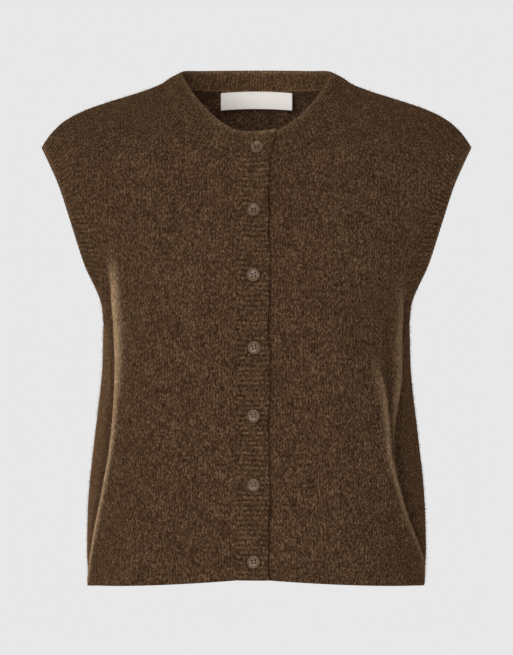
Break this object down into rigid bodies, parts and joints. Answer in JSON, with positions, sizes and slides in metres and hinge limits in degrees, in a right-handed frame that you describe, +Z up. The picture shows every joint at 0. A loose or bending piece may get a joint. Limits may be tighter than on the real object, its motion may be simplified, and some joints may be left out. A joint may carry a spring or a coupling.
{
  "type": "knitted sweater vest",
  "caption": "Sleeveless round-neck knitted cardigan vest, buttoned down the front, with ribbed neckband, front bands and armbands; filled out as when worn, hollow and open.",
  "frame": {"origin": "midway between the wearer's shoulders, at the height of the foot of the neckband", "axes": "+Z up along the wearer's spine, -Y out of the front, +X towards the wearer's left"},
  "size_m": [0.4298, 0.2265, 0.5186],
  "materials": {
    "body_knit": "brushed melange wool in stocking stitch, dark brown",
    "rib_knit": "brushed melange wool in one-by-one rib, dark brown",
    "label": "bare woven tape, off-white",
    "button": "taupe, with a satin face"
  },
  "bodies": {
    "root": {"right_front": "body_knit", "left_front": "body_knit", "back": "body_knit", "neckband": "rib_knit", "buttonhole_band": "rib_knit", "button_band": "rib_knit", "right_armband": "rib_knit", "left_armband": "rib_knit", "neck_label": "label", "button_1": "button", "button_2": "button", "button_3": "button", "button_4": "button", "button_5": "button", "button_6": "button", "button_7": "button"}
  },
  "joints": []
}
